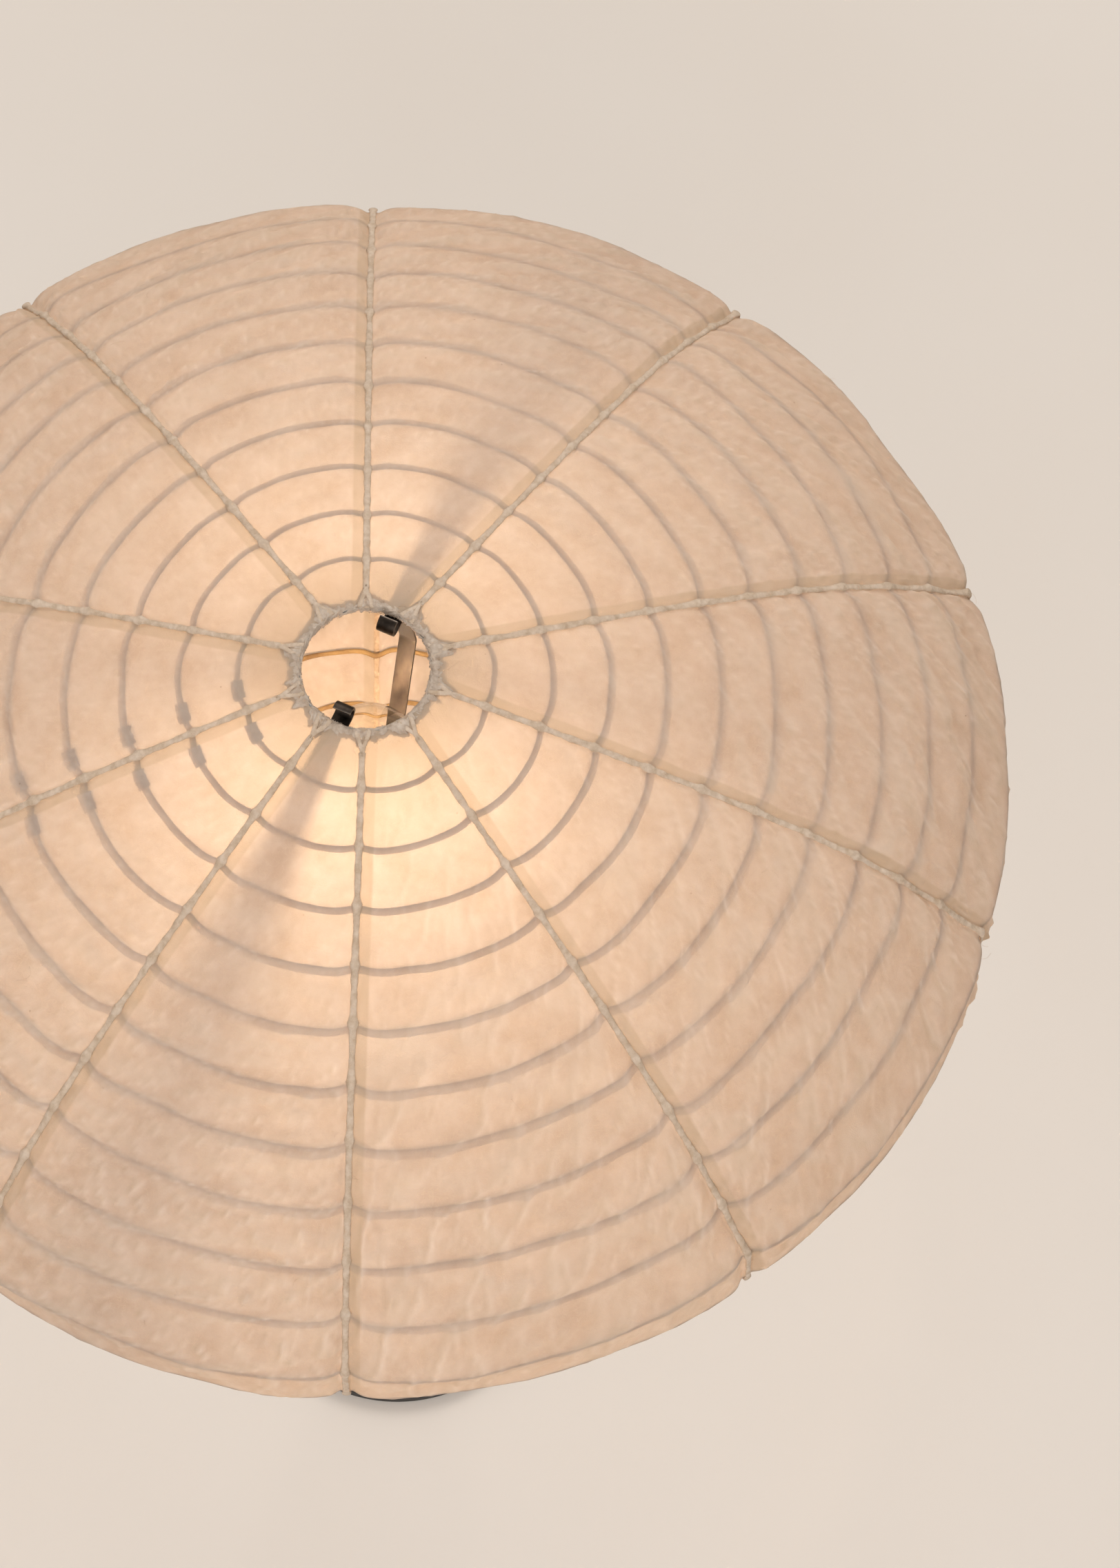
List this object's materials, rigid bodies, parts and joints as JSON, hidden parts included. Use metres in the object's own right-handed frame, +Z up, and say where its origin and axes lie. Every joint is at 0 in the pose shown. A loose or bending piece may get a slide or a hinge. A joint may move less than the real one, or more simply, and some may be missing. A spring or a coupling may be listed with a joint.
{
  "type": "paper floor lantern",
  "caption": "Saucer-shaped washi lantern shade of bamboo hoops and paper gores on a slim black floor stand, with a sprung strap stretcher and a screw bulb.",
  "frame": {"origin": "on the floor, under the middle of the round base", "axes": "+Z up along the stem, -Y towards the front, where the first thread runs, +X to the right"},
  "size_m": [0.7704, 0.7704, 1.1874],
  "materials": {
    "paper": "handmade mulberry paper",
    "thread": "cotton thread, pasted",
    "binding_paper": "torn paper strip, pasted",
    "bamboo": "split bamboo",
    "ring_steel": "drawn wire",
    "strap_steel": "dark spring steel, satin",
    "fastener_steel": "zinc plated",
    "bulb_glass": "frosted",
    "bulb_metal": "rolled",
    "light_source": "glowing",
    "brass": "stamped",
    "bakelite": "moulded",
    "porcelain": "glazed",
    "black_paint": "matt powder coat",
    "felt": "wool felt",
    "nylon": "moulded"
  },
  "bodies": {
    "stand": {"base_disc": "black_paint", "base_felt": "felt", "stem": "black_paint", "stem_nut": "fastener_steel", "cord_gland": "nylon", "spreader_collar": "black_paint", "collar_screw": "fastener_steel", "lower_spreader": "strap_steel", "holder_plate": "strap_steel", "arm_rivets": "fastener_steel", "nipple": "fastener_steel", "lock_nuts": "fastener_steel", "holder_cup": "bakelite", "holder_shell": "bakelite", "holder_sleeve": "brass", "holder_core": "porcelain", "holder_contact": "brass", "stretcher_arm_front": "strap_steel", "stretcher_arm_back": "strap_steel"},
    "bulb": {"bulb_glass": "bulb_glass", "bulb_cap": "bulb_metal", "bulb_contact": "bulb_metal", "bulb_filament": "light_source"},
    "shade_top": {"top_ring": "ring_steel", "top_binding": "binding_paper", "meridian_threads": "thread", "paper_gore_01": "paper", "paper_gore_02": "paper", "paper_gore_03": "paper", "paper_gore_04": "paper", "paper_gore_05": "paper", "paper_gore_06": "paper", "paper_gore_07": "paper", "paper_gore_08": "paper", "paper_gore_09": "paper", "paper_gore_10": "paper"},
    "upper_hoop_01": {"upper_rib_01": "bamboo"},
    "upper_hoop_02": {"upper_rib_02": "bamboo"},
    "upper_hoop_03": {"upper_rib_03": "bamboo"},
    "upper_hoop_04": {"upper_rib_04": "bamboo"},
    "upper_hoop_05": {"upper_rib_05": "bamboo"},
    "upper_hoop_06": {"upper_rib_06": "bamboo"},
    "upper_hoop_07": {"upper_rib_07": "bamboo"},
    "upper_hoop_08": {"upper_rib_08": "bamboo"},
    "upper_hoop_09": {"upper_rib_09": "bamboo"},
    "upper_hoop_10": {"upper_rib_10": "bamboo"},
    "upper_hoop_11": {"upper_rib_11": "bamboo"},
    "lower_hoop_01": {"lower_rib_01": "bamboo"},
    "lower_hoop_02": {"lower_rib_02": "bamboo"},
    "lower_hoop_03": {"lower_rib_03": "bamboo"},
    "lower_hoop_04": {"lower_rib_04": "bamboo"},
    "lower_hoop_05": {"lower_rib_05": "bamboo"},
    "lower_hoop_06": {"lower_rib_06": "bamboo"},
    "lower_hoop_07": {"lower_rib_07": "bamboo"},
    "lower_hoop_08": {"lower_rib_08": "bamboo"},
    "lower_hoop_09": {"lower_rib_09": "bamboo"},
    "lower_hoop_10": {"lower_rib_10": "bamboo"},
    "shade_foot": {"bottom_ring": "ring_steel", "bottom_binding": "binding_paper"}
  },
  "joints": [
    {"name": "shade_lift", "type": "slide", "parent": "stand", "child": "shade_top", "axis": [0, 0, 1], "range_m": [0, 0.31]},
    {"name": "bulb_unscrew", "type": "slide", "parent": "stand", "child": "bulb", "axis": [0, 0, 1], "range_m": [0, 0.026]},
    {"name": "shade_fold", "type": "slide", "parent": "shade_top", "child": "shade_foot", "axis": [0, 0, 1], "range_m": [0, 0.251], "deforming": ["meridian_threads", "paper_gore_01", "paper_gore_02", "paper_gore_03", "paper_gore_04", "paper_gore_05", "paper_gore_06", "paper_gore_07", "paper_gore_08", "paper_gore_09", "paper_gore_10"]},
    {"name": "upper_fold_01", "type": "slide", "parent": "shade_top", "child": "upper_hoop_01", "axis": [0, 0, 1], "range_m": [0, 0.00661]},
    {"name": "upper_fold_02", "type": "slide", "parent": "shade_top", "child": "upper_hoop_02", "axis": [0, 0, 1], "range_m": [0, 0.01276]},
    {"name": "upper_fold_03", "type": "slide", "parent": "shade_top", "child": "upper_hoop_03", "axis": [0, 0, 1], "range_m": [0, 0.01907]},
    {"name": "upper_fold_04", "type": "slide", "parent": "shade_top", "child": "upper_hoop_04", "axis": [0, 0, 1], "range_m": [0, 0.02573]},
    {"name": "upper_fold_05", "type": "slide", "parent": "shade_top", "child": "upper_hoop_05", "axis": [0, 0, 1], "range_m": [0, 0.03301]},
    {"name": "upper_fold_06", "type": "slide", "parent": "shade_top", "child": "upper_hoop_06", "axis": [0, 0, 1], "range_m": [0, 0.04125]},
    {"name": "upper_fold_07", "type": "slide", "parent": "shade_top", "child": "upper_hoop_07", "axis": [0, 0, 1], "range_m": [0, 0.05087]},
    {"name": "upper_fold_08", "type": "slide", "parent": "shade_top", "child": "upper_hoop_08", "axis": [0, 0, 1], "range_m": [0, 0.06238]},
    {"name": "upper_fold_09", "type": "slide", "parent": "shade_top", "child": "upper_hoop_09", "axis": [0, 0, 1], "range_m": [0, 0.07633]},
    {"name": "upper_fold_10", "type": "slide", "parent": "shade_top", "child": "upper_hoop_10", "axis": [0, 0, 1], "range_m": [0, 0.0934]},
    {"name": "upper_fold_11", "type": "slide", "parent": "shade_top", "child": "upper_hoop_11", "axis": [0, 0, 1], "range_m": [0, 0.11429]},
    {"name": "lower_fold_01", "type": "slide", "parent": "shade_top", "child": "lower_hoop_01", "axis": [0, 0, 1], "range_m": [0, 0.14382]},
    {"name": "lower_fold_02", "type": "slide", "parent": "shade_top", "child": "lower_hoop_02", "axis": [0, 0, 1], "range_m": [0, 0.16471]},
    {"name": "lower_fold_03", "type": "slide", "parent": "shade_top", "child": "lower_hoop_03", "axis": [0, 0, 1], "range_m": [0, 0.18177]},
    {"name": "lower_fold_04", "type": "slide", "parent": "shade_top", "child": "lower_hoop_04", "axis": [0, 0, 1], "range_m": [0, 0.19573]},
    {"name": "lower_fold_05", "type": "slide", "parent": "shade_top", "child": "lower_hoop_05", "axis": [0, 0, 1], "range_m": [0, 0.20723]},
    {"name": "lower_fold_06", "type": "slide", "parent": "shade_top", "child": "lower_hoop_06", "axis": [0, 0, 1], "range_m": [0, 0.21686]},
    {"name": "lower_fold_07", "type": "slide", "parent": "shade_top", "child": "lower_hoop_07", "axis": [0, 0, 1], "range_m": [0, 0.2251]},
    {"name": "lower_fold_08", "type": "slide", "parent": "shade_top", "child": "lower_hoop_08", "axis": [0, 0, 1], "range_m": [0, 0.23238]},
    {"name": "lower_fold_09", "type": "slide", "parent": "shade_top", "child": "lower_hoop_09", "axis": [0, 0, 1], "range_m": [0, 0.23904]},
    {"name": "lower_fold_10", "type": "slide", "parent": "shade_top", "child": "lower_hoop_10", "axis": [0, 0, 1], "range_m": [0, 0.24535]}
  ],
  "couplings": [
    {"joint": "upper_fold_01", "follows": "shade_fold", "ratio": 0.024328},
    {"joint": "upper_fold_02", "follows": "shade_fold", "ratio": 0.048834},
    {"joint": "upper_fold_03", "follows": "shade_fold", "ratio": 0.073974},
    {"joint": "upper_fold_04", "follows": "shade_fold", "ratio": 0.10051},
    {"joint": "upper_fold_05", "follows": "shade_fold", "ratio": 0.12951},
    {"joint": "upper_fold_06", "follows": "shade_fold", "ratio": 0.16234},
    {"joint": "upper_fold_07", "follows": "shade_fold", "ratio": 0.20069},
    {"joint": "upper_fold_08", "follows": "shade_fold", "ratio": 0.24652},
    {"joint": "upper_fold_09", "follows": "shade_fold", "ratio": 0.30213},
    {"joint": "upper_fold_10", "follows": "shade_fold", "ratio": 0.3701},
    {"joint": "upper_fold_11", "follows": "shade_fold", "ratio": 0.45333},
    {"joint": "lower_fold_01", "follows": "shade_fold", "ratio": 0.57099},
    {"joint": "lower_fold_02", "follows": "shade_fold", "ratio": 0.65423},
    {"joint": "lower_fold_03", "follows": "shade_fold", "ratio": 0.7222},
    {"joint": "lower_fold_04", "follows": "shade_fold", "ratio": 0.77781},
    {"joint": "lower_fold_05", "follows": "shade_fold", "ratio": 0.82364},
    {"joint": "lower_fold_06", "follows": "shade_fold", "ratio": 0.86198},
    {"joint": "lower_fold_07", "follows": "shade_fold", "ratio": 0.89482},
    {"joint": "lower_fold_08", "follows": "shade_fold", "ratio": 0.92382},
    {"joint": "lower_fold_09", "follows": "shade_fold", "ratio": 0.95035},
    {"joint": "lower_fold_10", "follows": "shade_fold", "ratio": 0.97549}
  ]
}
